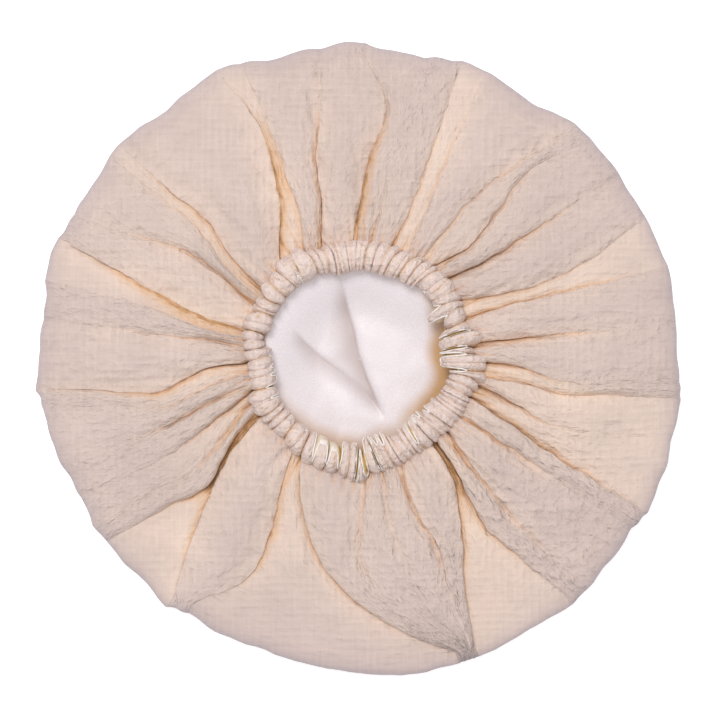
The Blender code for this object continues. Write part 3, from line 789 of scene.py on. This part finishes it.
def casing_points(along, proud=0.0):
    """A point for each column, at its own share of the way over, with how deep it is in the ruffles, which
    sets the painted shade of its pinch, and how much painted shade of a fine crease runs through it."""
    along = np.broadcast_to(along, TURNS.shape)
    across, up, ruffle = (section_value(column, along) for column in ("across", "up", "ruffle"))
    across = across - FLATTER * FLAT * np.clip(across, 0, 1)
    direction = casing_direction(along)
    places = list(zip(np.radians(direction), along))
    sink = DEPTH * (1 - STAND) * np.clip(WIDTH / NARROW_RUFFLE, 0.45, 1) * ruffle
    wide = np.array([noise_round(WRINKLES_ROUND, turn, 1.6 * over) for turn, over in places])
    fine = np.array([noise_round(FINE_WRINKLES_ROUND, turn, 2.2 * over + 9) for turn, over in places])
    wrinkles = (wide + 0.7 * fine) * WRINKLE * ruffle
    middle, half = (OUT_TO + IN_TO) / 2, (OUT_TO - IN_TO) / 2
    outward = np.stack([across * half, (up - MOUND) * RISE], axis=1)
    outward /= np.linalg.norm(outward, axis=1)[:, None]
    smooth = polar(middle + across * half, direction, STITCH_HEIGHT + up * RISE)
    folded = np.array([noise.noise(Vector(p) / CRUMPLE_WIDTH) for p in smooth])
    crumple = np.clip(1 - 4 * np.abs(folded), -0.6, 1) * CRUMPLE * ruffle
    push = wrinkles + crumple + proud - PINCH_BACK * PINCH_DEPTH * sink
    distance = middle + across * half + outward[:, 0] * push
    sunk = PINCH_DOWN * PINCH_DEPTH * sink * np.clip(up, 0, 1)
    height = STITCH_HEIGHT + up * RISE + outward[:, 1] * push - sunk
    # Painted shade of fine creases: thin darker lines in the muslin's colour.
    lines = np.array([noise_round(LINES_ROUND, turn, 1.2 * over + 21) for turn, over in places])
    lines = FINE_CREASE_SHADE * np.clip(1 - np.abs(lines) / FINE_CREASE_WIDTH, 0, 1)
    lines = lines * np.clip(WIDTH / WIDE_RUFFLE, 0.3, 1)
    # How deep a point lies in a pinch, from which shade is painted there.
    deep = np.clip(1.25 * DEPTH * (1 - STAND) - 0.1, 0, 1)
    return polar(distance, direction, height) - MIDDLE, deep, lines


# %% Muslin casing, satin facing and piping
CASING_RINGS, FACING_RINGS = 34, 22
EDGE_RADIUS = 0.44 * MM
EDGE_PROUD = 0.25 * MM
EDGE_THINS = (0.95, 0.06, 0.25)
LAY_SIZE = 2.5 * MM
CASING_RUCK = 0.8


def strip(name, start, end, count):
    """A ruffled strip of the casing between two shares of the way over it, which may vary round the ring."""
    shares = [np.full(len(TURNS), share) for share in np.linspace(0, 1, count)]
    rings, depths, lines = zip(*(casing_points(mix(start, end, share)) for share in shares))
    # The warm, crease and down attributes carry painted shade: into the pinches, along fine creases and down
    # the facing's inside.
    shade_and_ruck = {"warm": depths, "down": shares}
    shade_and_ruck["crease"] = [np.maximum(depth ** 2.5, line) for depth, line in zip(depths, lines)]
    shade_and_ruck["lay"] = [ring / LAY_SIZE for ring in rings]
    shade_and_ruck["ruck"] = [0 * share + CASING_RUCK for share in shares]
    return as_piece(name, extruded_rings(rings, cap=False), shade_and_ruck)


def seam_edge(name):
    """The satin's folded edge, a thin roll that runs along the seam wherever that comes into sight."""
    seam, _, _ = casing_points(SEAM, EDGE_PROUD)
    ahead = np.roll(seam, -1, axis=0) - np.roll(seam, 1, axis=0)
    ahead /= np.linalg.norm(ahead, axis=1)[:, None]
    side = np.cross(ahead, (0, 0, 1))
    side /= np.linalg.norm(side, axis=1)[:, None]
    over = np.cross(side, ahead)
    gone_at, thins_over, thinnest = EDGE_THINS
    radius = EDGE_RADIUS * np.clip((gone_at - SEAM) / thins_over, thinnest, 1)[:, None]
    rings = []
    for turn in np.radians(np.arange(0, 360, 60)):
        rings.append(seam + radius * (math.cos(turn) * side + math.sin(turn) * over))
    mesh = extruded_rings(rings, cap=False)
    ends = [e for e in mesh.edges if e.is_boundary]
    bmesh.ops.bridge_loops(mesh, edges=ends)
    bmesh.ops.recalc_face_normals(mesh, faces=mesh.faces)
    return as_piece(name, mesh)


FACING_UNDER = 0.005
casing = strip("muslin_casing", np.zeros(len(TURNS)), SEAM, CASING_RINGS)
facing = strip("satin_facing", SEAM - FACING_UNDER, np.ones(len(TURNS)), FACING_RINGS)
piping = seam_edge("satin_edge")
print("casing:", len(casing.data.polygons), "faces; facing:", len(facing.data.polygons), "faces")

# %% [markdown]
# ## The satin lining
#
# Through the mouth only the floor of the lining is seen: smooth satin with two soft creases that run down
# and to the right, and a slope that rises to the ring at the upper left. The rest of the bag follows the
# inside of the shell. Shade is painted grey along the creases and over the middle of the floor, and the
# casing's shadow is painted gold on the right and at the bottom. Lines and breadths are shares of the
# ring's radius, and heights are in millimetres.

# %% The lining's floor and bag
Crease = namedtuple("Crease", "line height breadth")
CREASES = [
    Crease(((-0.20, 0.84), (-0.128, 0.51), (-0.06, 0.27), (-0.017, 0.048), (0.06, -0.174), (0.146, -0.379),
            (0.25, -0.60)), 2.0, (0.09, 0.14, 0.24, 0.26, 0.17, 0.11, 0.07)),
    Crease(((-0.70, 0.33), (-0.556, 0.168), (-0.384, 0.014), (-0.197, -0.123), (-0.026, -0.26),
            (0.128, -0.431), (0.24, -0.60)), 1.5, (0.06, 0.13, 0.18, 0.17, 0.12, 0.09, 0.06)),
]
CREASE_TIP, TIP_LEFT = 0.22, 0.15
CREASE_BACK = 0.03
DEEPEST_CREASE = 2.0
SATIN_MIDDLE_SHADE = 0.26
SATIN_LIFT = 4.8 * MM
SATIN_WAVES = ((1.0, 34 * MM), (0.4, 11 * MM))
TOP_LEFT = 115.0
TOP_LEFT_RISE = 14.0 * MM
NEAR_EDGE, UNDER_RING = (0.42, 0.62), (0.93, 0.13)
LINING_COLUMNS = 280
FLOOR_SHARES = np.linspace(0.02, 1.18, 92)
LINING_EDGE_ACROSS, LINING_EDGE_RISE = 0.72, 0.6 * MM
LINING_REACH = 0.94
# Where the casing's painted shadow falls on the satin: towards the right and the bottom.
SHADOW_RIGHT, SHADOW_BOTTOM, SHADOW_BOTTOM_SHARE = -12, 258, 0.55


def crease_fall(crease, places):
    """How much of a crease is felt at each place: a soft slope on its left and a sharp step on its right."""
    line = np.array(crease.line) * RING_RADIUS
    nearest = np.full(len(places), np.inf)
    felt = np.zeros(len(places))
    parts = len(line) - 1
    for number, (start, end) in enumerate(zip(line, line[1:])):
        way = end - start
        share = np.clip((places - start) @ way / (way @ way), 0, 1)
        off = places - (start + share[:, None] * way)
        distance = np.hypot(*off.T)
        soft = way[0] * off[:, 1] - way[1] * off[:, 0] < 0
        breadth = mix(crease.breadth[number], crease.breadth[number + 1], share) * RING_RADIUS
        breadth = np.where(soft, breadth, CREASE_BACK * RING_RADIUS)
        along = (number + share) / parts
        tips = ease(np.minimum(along, 1 - along) / CREASE_TIP + TIP_LEFT)
        fall = tips * np.exp(-(distance / breadth) ** 1.4)
        closer = distance < nearest
        nearest = np.where(closer, distance, nearest)
        felt = np.where(closer, fall, felt)
    return felt


def floor_lift(points):
    """How high the satin stands at each point of the floor, and how shaded it is."""
    waves = 0
    for size, width in SATIN_WAVES:
        waves = waves + size * np.array([noise.noise(Vector(p) / width) for p in points])
    turns = np.degrees(np.arctan2(points[:, 1], points[:, 0]))
    share = np.hypot(points[:, 0], points[:, 1]) / RING_RADIUS
    near_edge = eased(share, *NEAR_EDGE)
    top_left = np.clip(0.6 + 0.8 * np.cos(np.radians(turns - TOP_LEFT)), 0, 1)
    lift = waves * MM + SATIN_LIFT
    lift += TOP_LEFT_RISE * (near_edge * (1 - eased(share, *UNDER_RING)) * top_left)
    # Painted shade over the floor, fading out towards its edge at the upper left.
    shade = SATIN_MIDDLE_SHADE * (1 - near_edge * top_left)
    for crease in CREASES:
        felt = crease_fall(crease, points[:, :2])
        lift -= crease.height * MM * felt
        # Painted shade along each crease, stronger for a taller one.
        shade = np.maximum(shade, crease.height / DEEPEST_CREASE * felt)
    return np.maximum(lift, 0), shade


def ring_shade(distance, turns):
    """The golden shade that the casing throws on the satin, on the right and at the bottom."""
    right = np.clip(1.9 * np.cos(np.radians(turns - SHADOW_RIGHT)) - 0.9, 0, 1)
    bottom = SHADOW_BOTTOM_SHARE * np.clip(1.7 * np.cos(np.radians(turns - SHADOW_BOTTOM)) - 0.7, 0, 1)
    side = np.maximum(right, bottom)
    near = ease((distance / reach_at(INNER, turns) - mix(0.88, 0.74, side)) / 0.24)
    return np.clip(near * (0.18 + 0.82 * side), 0, 1)


def lining_rings():
    """Rings of the satin bag from the middle of its floor to its edge in the casing, with both shades."""
    turns = np.arange(LINING_COLUMNS) * 360 / LINING_COLUMNS
    none = np.zeros(LINING_COLUMNS)
    made = []
    for share in FLOOR_SHARES:
        points = polar(share * RING_RADIUS, turns, FLOOR_HEIGHT)
        lift, shade = floor_lift(points)
        points[:, 2] += lift
        made.append((points, shade, ring_shade(share * RING_RADIUS, turns)))
    rim = HALF_WIDTH * LINING_REACH - RIM_ROLL
    bag = ((0.8 * rim, FLOOR_HEIGHT), (rim, FLOOR_HEIGHT), (rim + 4 * MM, 5 * MM), (rim, 9 * MM))
    for distance, height in bag:
        made.append((polar(distance, turns, height), none, none))
    for out, height in ((0.5, 12 * MM), (0.2, 14.5 * MM), (0.0, 16 * MM)):
        made.append((polar(mix(stitch_distance(turns), rim, out), turns, height), none, none))
    edge = ring_distance(turns) - LINING_EDGE_ACROSS * half_breadth(turns)
    made.append((polar(edge, turns, STITCH_HEIGHT + LINING_EDGE_RISE), none, none + 1))
    points, shades, casing_shadows = zip(*made)
    return [ring - MIDDLE for ring in points], shades, casing_shadows


points, shades, casing_shadows = lining_rings()
lining = as_piece("satin_lining", extruded_rings(points, cap=True), {"shade": shades, "casing_shadow": casing_shadows})
wall = lining.modifiers.new("wall", "SOLIDIFY")
wall.thickness = LINING_WALL
print("lining:", len(lining.data.polygons), "faces")

# %% [markdown]
# ## Materials
#
# Colours are written as sRGB hex values and turned to linear by one function. Two more add a shader node and
# set or link its inputs, so that each material reads as a short list.

# %% Material helpers
def linear(hex_colour):
    """The linear colour of an sRGB hex value."""
    levels = [int(hex_colour[i:i + 2], 16) / 255 for i in (0, 2, 4)]
    return [v / 12.92 if v <= 0.04045 else ((v + 0.055) / 1.055) ** 2.4 for v in levels] + [1.0]


def give(tree, node, inputs):
    """Sets each named input to its value, or links it if it is given a socket."""
    for name, value in inputs.items():
        if isinstance(value, bpy.types.NodeSocket):
            tree.links.new(value, node.inputs[name])
        else:
            node.inputs[name].default_value = value


def add(tree, kind, inputs=None, **settings):
    """Adds a node with its settings and inputs."""
    node = tree.nodes.new(kind)
    for name, value in settings.items():
        setattr(node, name, value)
    give(tree, node, inputs or {})
    return node


def new_material(name):
    material = bpy.data.materials.new(name)
    material.use_nodes = True
    tree = material.node_tree
    return material, tree, tree.nodes["Principled BSDF"]


def wear(piece, material):
    piece.data.materials.clear()
    piece.data.materials.append(material)


# %% [markdown]
# ### Double gauze muslin
#
# Muslin is plain-woven cotton with slubby threads, matt and slightly furry. Its threads lie about 0.4 mm
# apart, too fine for the picture, so the weave is drawn at 1.2 mm. The two layers are tacked together in a
# grid of puckers 4.5 mm wide, and where the cloth is rucked most it blisters. The underside lies flat, so
# it has the blisters but few of the puckers. Light that bounces about in a fold comes out warmer each time,
# so valley floors are peach and creases orange: the warm and crease attributes paint that light and the
# shade of the furrows into the colour, and the rim attribute paints shade on the rolled edge. The colour is
# also painted a little darker in the pits of the crinkles, puckers and blisters. Heights are taken from
# their middle before they are bumped, so that nothing steps where their strength changes.

# %% Muslin's sizes
THREAD = 1.2 * MM
SLUB = 16 * MM
TACK = 4.5 * MM
TACK_WANDER = 20 * MM
BLOTCH = 40 * MM
PATCH = 24 * MM
BLISTER = 5.5 * MM
UNDERSIDE_BELOW = (1 * MM, 3 * MM)
UNDERSIDE_BLISTERS = 0.7
UNDERSIDE_PUCKERS = 0.3
ROLL_SHADE_TONE = "9C919A"
WAVE_TURN = math.tau / 20


def maths(tree, operation, first, second):
    return add(tree, "ShaderNodeMath", {0: first, 1: second}, operation=operation).outputs[0]


def times(tree, *factors):
    """All the factors multiplied together."""
    product = factors[0]
    for factor in factors[1:]:
        product = maths(tree, "MULTIPLY", product, factor)
    return product


def attribute(tree, name):
    return add(tree, "ShaderNodeAttribute", attribute_name=name).outputs["Fac"]


def mottled(tree, place, width, detail=1.0):
    """Noise in spots of a width."""
    inputs = {"Vector": place, "Scale": 1 / width, "Detail": detail}
    return add(tree, "ShaderNodeTexNoise", inputs).outputs[0]


def threads_one_way(tree, place, stretch):
    stretched = add(tree, "ShaderNodeMapping", {"Vector": place, "Scale": stretch})
    return mottled(tree, stretched.outputs[0], 1.0, 2.0)


def tacks_one_way(tree, place, direction):
    inputs = {"Vector": place, "Scale": WAVE_TURN / TACK, "Distortion": 5.0, "Detail": 1.0,
              "Detail Scale": 0.6 * TACK / TACK_WANDER}
    return add(tree, "ShaderNodeTexWave", inputs, bands_direction=direction).outputs["Fac"]


def bumped(tree, height, strength, distance, under=None):
    """A bump of a height in millimetres, laid over the one under it."""
    inputs = {"Height": height, "Strength": strength, "Distance": distance * MM}
    if under is not None:
        inputs["Normal"] = under
    return add(tree, "ShaderNodeBump", inputs).outputs[0]


def graded(tree, value, low, high, to_low=0.0, to_high=1.0):
    inputs = {"Value": value, "From Min": low, "From Max": high, "To Min": to_low, "To Max": to_high}
    return add(tree, "ShaderNodeMapRange", inputs).outputs[0]


def blended(tree, amount, first, second):
    """A mix of two colours, each a socket or a hex value."""
    ends = [linear(c) if isinstance(c, str) else c for c in (first, second)]
    inputs = {"Factor": amount, "A": ends[0], "B": ends[1]}
    return add(tree, "ShaderNodeMix", inputs, data_type="RGBA").outputs["Result"]


# %% Muslin's relief
def about_zero(tree, value):
    return maths(tree, "SUBTRACT", value, 0.5)


def muslin_heights(tree, place, lay_scale):
    """The heights of the weave, the puckers, the crinkles along the lay and the blisters."""
    weave = maths(tree, "ADD", threads_one_way(tree, place, (1 / THREAD, 1 / SLUB, 1 / SLUB)),
                  threads_one_way(tree, place, (1 / SLUB, 1 / THREAD, 1 / SLUB)))
    which = graded(tree, mottled(tree, place, PATCH), 0.35, 0.65)
    tacks = [tacks_one_way(tree, place, direction) for direction in "XY"]
    puckers = add(tree, "ShaderNodeMix", {"Factor": which, "A": tacks[0], "B": tacks[1]}).outputs["Result"]
    height = add(tree, "ShaderNodeSeparateXYZ", {"Vector": place}).outputs["Z"]
    above = graded(tree, height, *UNDERSIDE_BELOW, UNDERSIDE_PUCKERS)
    puckers = times(tree, about_zero(tree, puckers), above)
    lay = add(tree, "ShaderNodeAttribute", attribute_name="lay").outputs["Vector"]
    inputs = {"Vector": lay, "Scale": lay_scale, "Detail": 2.5, "Roughness": 0.6}
    crinkles = add(tree, "ShaderNodeTexNoise", inputs).outputs[0]
    underside = graded(tree, height, *UNDERSIDE_BELOW, UNDERSIDE_BLISTERS, 0.0)
    blistered = maths(tree, "MAXIMUM", graded(tree, attribute(tree, "ruck"), 0.60, 1.2, 0.15, 1.0), underside)
    return weave, puckers, crinkles, mottled(tree, place, BLISTER), blistered


# %% Muslin
def muslin_material(name, lay_scale, panel, valley_glow, crease_shade, deepest_shade):
    material, tree, shader = new_material(name)
    place = add(tree, "ShaderNodeTexCoord").outputs["Object"]
    weave, puckers, crinkles, lumps, blistered = muslin_heights(tree, place, lay_scale)
    rucked = graded(tree, attribute(tree, "ruck"), 0.0, 1.0)
    relief = bumped(tree, weave, 0.5, 0.4)
    relief = bumped(tree, puckers, 0.45, 0.5, relief)
    relief = bumped(tree, times(tree, about_zero(tree, crinkles), rucked), 1.0, 2.6, relief)
    relief = bumped(tree, times(tree, about_zero(tree, lumps), blistered), 0.8, 2.6, relief)

    blotches = mottled(tree, place, BLOTCH)
    warmth = times(tree, attribute(tree, "warm"), graded(tree, blotches, 0.3, 0.7, 0.75, 1.2))
    line = times(tree, attribute(tree, "crease"), graded(tree, crinkles, 0.3, 0.7, 0.65, 1.25))
    # Painted light and shade: valleys glow peach, creases turn orange and their deepest parts brown.
    tone = blended(tree, warmth, panel, valley_glow)
    tone = blended(tree, graded(tree, line, 0.16, 0.75), tone, crease_shade)
    tone = blended(tree, graded(tree, line, 0.62, 1.15), tone, deepest_shade)
    # Painted shade: the rim attribute greys the rolled edge.
    tone = blended(tree, attribute(tree, "rim"), tone, ROLL_SHADE_TONE)
    # Blotches and the weave give the cloth's own uneven tone; the dents between blisters, the crinkles' pits
    # and the puckers' hollows are painted shade.
    dents = times(tree, graded(tree, lumps, 0.55, 0.38), blistered)
    spans = ((blotches, 0.3, 0.7, 0.96, 1.03), (weave, 0.7, 1.3, 0.95, 1.03), (dents, 0.0, 1.0, 1.0, 0.95),
             (crinkles, 0.3, 0.7, 0.97, 1.02), (puckers, -0.5, 0.5, 0.975, 1.015))
    shade = times(tree, *(graded(tree, *span) for span in spans))
    shaded = add(tree, "ShaderNodeVectorMath", {0: tone, "Scale": shade}, operation="SCALE").outputs[0]
    give(tree, shader, {"Base Color": shaded, "Normal": relief, "Roughness": 0.92, "Sheen Weight": 0.15,
                        "Sheen Roughness": 0.6})
    return material


# Each muslin's last three colours are painted light and shade: the valley glow, the crease shade and its
# deepest part.
wear(shell, muslin_material("double_gauze_muslin", 1.0, "CDB9AF", "E9D2BE", "D6AA80", "946A3C"))
wear(casing, muslin_material("gathered_double_gauze", 0.7, "E0CCC2", "E2C6AE", "CDA67C", "9E7A4C"))

# %% [markdown]
# ### Satin
#
# Satin floats its threads over the surface, so it is smooth and has a soft gloss with a faint grain, drawn
# at 0.9 mm because the real one is too fine for the picture. The shade attribute paints grey shade into the
# creases and the middle of the floor, and the golden shadow that the casing throws is painted on too. In the
# facing's pinches and down its inside the colour is painted shade, mustard from the light that comes back
# from the muslin.

# %% Satin
SATIN_GRAIN = 0.9 * MM


def satin_material(name, colour):
    """Satin, with its tree, shader and colour so that more can be laid over them."""
    material, tree, shader = new_material(name)
    grain = mottled(tree, add(tree, "ShaderNodeTexCoord").outputs["Object"], SATIN_GRAIN, 2.0)
    tone = blended(tree, graded(tree, grain, 0.3, 0.7, 0.0, 0.42), colour, "D6CACA")
    # Painted shade: grey where the shade attribute says.
    tone = blended(tree, attribute(tree, "shade"), tone, "B9A9A4")
    # Painted shadow of the casing, gold on the satin at the right and the bottom.
    tone = blended(tree, graded(tree, attribute(tree, "casing_shadow"), 0.02, 0.9), tone, "C39A6B")
    relief = bumped(tree, grain, 0.35, 0.2)
    give(tree, shader, {"Base Color": tone, "Normal": relief, "Roughness": 0.38, "Sheen Weight": 0.1})
    return material, tree, shader, tone


wear(lining, satin_material("smooth_satin", "F4EEF1")[0])
wear(piping, satin_material("satin_fold", "F1ECE6")[0])
gathered_satin, tree, shader, tone = satin_material("gathered_satin", "F6EFE6")
# Painted shade on the facing: mustard in the pinches and down its inside, dark brown in the deepest pinches.
pinch, down = attribute(tree, "warm"), attribute(tree, "down")
shadow = maths(tree, "MAXIMUM", graded(tree, pinch, 0.05, 0.6), graded(tree, down, 0.02, 0.30, 0.0, 0.4))
tone = blended(tree, shadow, tone, "C9A458")
tone = blended(tree, graded(tree, pinch, 0.6, 1.0, 0.0, 0.7), tone, "7E5E22")
give(tree, shader, {"Base Color": tone})
wear(facing, gathered_satin)

# %% [markdown]
# ### Elastic
#
# The elastic is a flat knitted band of rubber and white polyester, ribbed along its length. It stays inside
# the casing, so only its plain look matters.

# %% Elastic
RIB = 1.5 * MM
elastic, tree, shader = new_material("knitted_elastic")
place = add(tree, "ShaderNodeTexCoord").outputs["Object"]
height = add(tree, "ShaderNodeSeparateXYZ", {"Vector": place}).outputs["Z"]
ribs = maths(tree, "SINE", times(tree, height, math.tau / RIB), 0.0)
tone = blended(tree, graded(tree, ribs, -1, 1), "DAD4CB", "F0EBE3")
give(tree, shader, {"Base Color": tone, "Normal": bumped(tree, ribs, 0.5, 0.3), "Roughness": 0.8})
wear(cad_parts["elastic_band"], elastic)

# %% [markdown]
# ## Floor, light and camera
#
# The bonnet lies on a plain white table under soft light from all round, and is seen from straight above.

# %% Floor
TABLE_HALF = 3.0
mesh = bmesh.new()
bmesh.ops.create_grid(mesh, x_segments=1, y_segments=1, size=TABLE_HALF)
data = bpy.data.meshes.new("floor")
mesh.to_mesh(data)
mesh.free()
floor = placed("floor", data)
table, tree, shader = new_material("white_table")
give(tree, shader, {"Base Color": linear("F4F4F4"), "Emission Color": linear("FFFFFF"),
                    "Emission Strength": 0.4, "Roughness": 0.9})
wear(floor, table)

# %% [markdown]
# ## Riding and replacing
#
# Every piece rides on the one body, and stands for the solid that it dresses. The cuts are estimates, and
# low ones: along the cloth as built it is about 0.66 m across the muslin and 0.61 m across the satin.

# %% Frame calls
dressed = ((shell, "shell", "muslin"), (casing, "casing", "muslin"), (lining, "lining", "satin"))
for piece, node, slot in dressed:
    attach(piece, "root")
    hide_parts(node)
for piece in (facing, piping):
    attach(piece, "root")

# %% Light
world = bpy.data.worlds.new("studio")
world.use_nodes = True
give(world.node_tree, world.node_tree.nodes["Background"], {"Color": linear("FBFAFF"), "Strength": 0.64})
bpy.context.scene.world = world
bpy.context.scene.view_settings.view_transform = "Standard"


def soft_light(name, place, size, watts):
    """A round softbox that faces the bonnet."""
    lamp = bpy.data.lights.new(name, "AREA")
    lamp.shape = "DISK"
    lamp.size = size
    lamp.energy = watts
    holder = placed(name, lamp)
    holder.location = place
    holder.rotation_euler = (-Vector(place)).to_track_quat("-Z", "Y").to_euler()


soft_light("key_light", (-0.9, 1.6, 4.7), 1.7, 124)
soft_light("fill_light", (0.4, -0.3, 4.8), 2.5, 30)

# %% Camera
PHOTO_SIDE = 720
GATHERS_ROW = 359
PIXEL = 0.594 * MM
CAMERA_HEIGHT = 2.4
SENSOR = 36
camera_data = bpy.data.cameras.new("camera")
camera_data.sensor_width = SENSOR
camera_data.lens = SENSOR * CAMERA_HEIGHT / (PHOTO_SIDE * PIXEL)
camera = placed("camera", camera_data)
camera.location = (-MIDDLE[0], -MIDDLE[1] + (PHOTO_SIDE / 2 - GATHERS_ROW) * -PIXEL, CAMERA_HEIGHT)
bpy.context.scene.camera = camera
